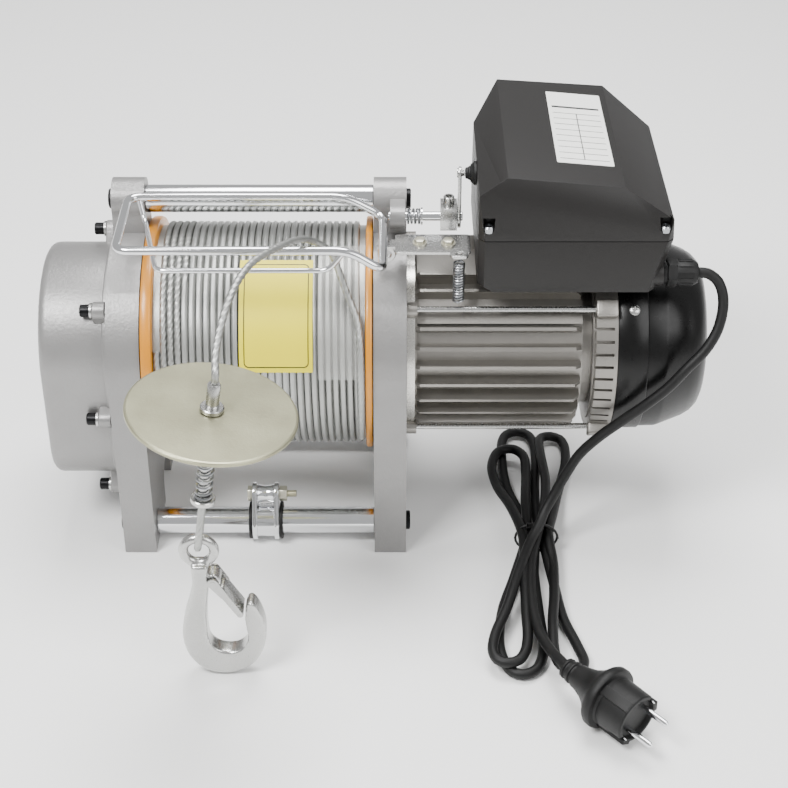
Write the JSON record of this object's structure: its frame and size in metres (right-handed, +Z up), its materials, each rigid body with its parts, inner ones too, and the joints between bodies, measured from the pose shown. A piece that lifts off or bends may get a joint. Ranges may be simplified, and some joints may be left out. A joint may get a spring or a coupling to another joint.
{
  "type": "electric wire rope puller",
  "caption": "Electric wire rope hoist: geared drum between two cast end plates, finned motor, control box, limit bail, hook with stop disc and a folded mains lead.",
  "frame": {"origin": "floor level under the middle of the hoist's overall box, the free mains lead and its plug left out", "axes": "+X along the drum axis from the gearbox to the fan cover, +Y from the hook side to the rear, +Z up"},
  "size_m": [0.5385, 0.4658, 0.331],
  "materials": {
    "cast": "satin",
    "chrome": "polished",
    "black_steel": "black oxide",
    "rubber": "matt",
    "steel": "machined",
    "orange": "satin",
    "rope": "galvanised wire rope",
    "aluminium": "as cast",
    "copper": "lacquered windings and core",
    "grey_plastic": "moulded",
    "gloss_black": "gloss",
    "charcoal": "fine texture",
    "zinc": "zinc plated"
  },
  "bodies": {
    "frame": {"left_end_plate": "cast", "right_end_plate": "cast", "top_tie_rod": "chrome", "front_tie_rod": "chrome", "rear_tie_rod": "chrome", "tie_rod_screw_1": "black_steel", "tie_rod_screw_2": "black_steel", "tie_rod_screw_3": "black_steel", "tie_rod_screw_4": "black_steel", "tie_rod_screw_5": "black_steel", "tie_rod_screw_6": "black_steel", "gearbox_cover": "cast", "cover_gasket": "rubber", "stator": "copper", "motor_housing": "aluminium", "motor_end_ring": "aluminium", "fan_cover": "gloss_black", "through_bolt_1": "steel", "through_bolt_2": "steel", "through_bolt_3": "steel", "through_bolt_4": "steel", "box_base": "charcoal", "box_lid": "charcoal", "cable_gland": "rubber", "switch_boot": "rubber", "limit_switch": "grey_plastic", "contactor": "grey_plastic", "run_capacitor": "grey_plastic", "bail_return_spring": "steel", "rope_tail": "rope", "rope_ferrule": "zinc", "buffer_spring": "steel", "spring_seat": "zinc", "rope_eye": "rope", "power_cable": "rubber", "cable_hank": "rubber", "plug_body": "rubber", "plug_pins": "chrome"},
    "drum": {"drum_core": "steel", "left_drum_flange": "orange", "right_drum_flange": "orange", "rope_coil": "rope", "drum_gear": "steel"},
    "layshaft_body": {"layshaft": "steel", "layshaft_gear": "steel"},
    "motor_rotor": {"motor_shaft": "steel", "rotor": "steel", "cooling_fan": "grey_plastic"},
    "bail": {"limit_bail": "chrome", "bail_shaft": "chrome", "bail_shaft_spring": "steel", "lever_clamp": "zinc", "crank_lever": "zinc", "limit_bracket": "zinc"},
    "disc": {"limit_disc": "zinc"},
    "load_hook": {"hook": "zinc"},
    "latch": {"hook_latch": "zinc"},
    "anchor": {"anchor_clamp": "chrome", "anchor_bolt": "zinc"},
    "roller": {"anchor_roller": "chrome"}
  },
  "joints": [
    {"name": "drum_spin", "type": "hinge", "parent": "frame", "child": "drum", "pos_m": [0, 0.079, 0.16], "axis": [1, 0, 0], "continuous": true},
    {"name": "layshaft_spin", "type": "hinge", "parent": "frame", "child": "layshaft_body", "pos_m": [0, 0.06019, 0.10832], "axis": [1, 0, 0], "continuous": true},
    {"name": "motor_spin", "type": "hinge", "parent": "frame", "child": "motor_rotor", "pos_m": [0, 0.079, 0.16], "axis": [1, 0, 0], "continuous": true},
    {"name": "bail_swing", "type": "hinge", "parent": "frame", "child": "bail", "pos_m": [0.018, 0.075, 0.27], "axis": [1, 0, 0], "range_deg": [-1.5, 6], "stiffness_Nm_per_rad": 12, "springref_deg": -0.57, "deforming": ["bail_return_spring"]},
    {"name": "disc_slide", "type": "slide", "parent": "frame", "child": "disc", "axis": [-0.1392, 0, -0.9903], "range_m": [0, 0.012], "stiffness_N_per_m": 2000, "springref_m": -0.005, "deforming": ["buffer_spring"]},
    {"name": "hook_swing", "type": "hinge", "parent": "frame", "child": "load_hook", "pos_m": [-0.1275, -0.1515, 0.1217], "axis": [0, 1, 0], "range_deg": [-30, 30]},
    {"name": "hook_latch_hinge", "type": "hinge", "parent": "load_hook", "child": "latch", "pos_m": [-0.118, -0.1515, 0.093], "axis": [0, 1, 0], "range_deg": [0, 30], "stiffness_Nm_per_rad": 0.05, "springref_deg": -20.05},
    {"name": "anchor_swing", "type": "hinge", "parent": "frame", "child": "anchor", "pos_m": [-0.0915, 0.01, 0.017], "axis": [1, 0, 0], "range_deg": [-45, 45]},
    {"name": "anchor_roller_spin", "type": "hinge", "parent": "anchor", "child": "roller", "pos_m": [-0.0915, 0.015, 0.041], "axis": [1, 0, 0], "continuous": true}
  ],
  "couplings": [
    {"joint": "layshaft_spin", "follows": "drum_spin", "ratio": -4.5},
    {"joint": "motor_spin", "follows": "drum_spin", "ratio": 31.5}
  ]
}
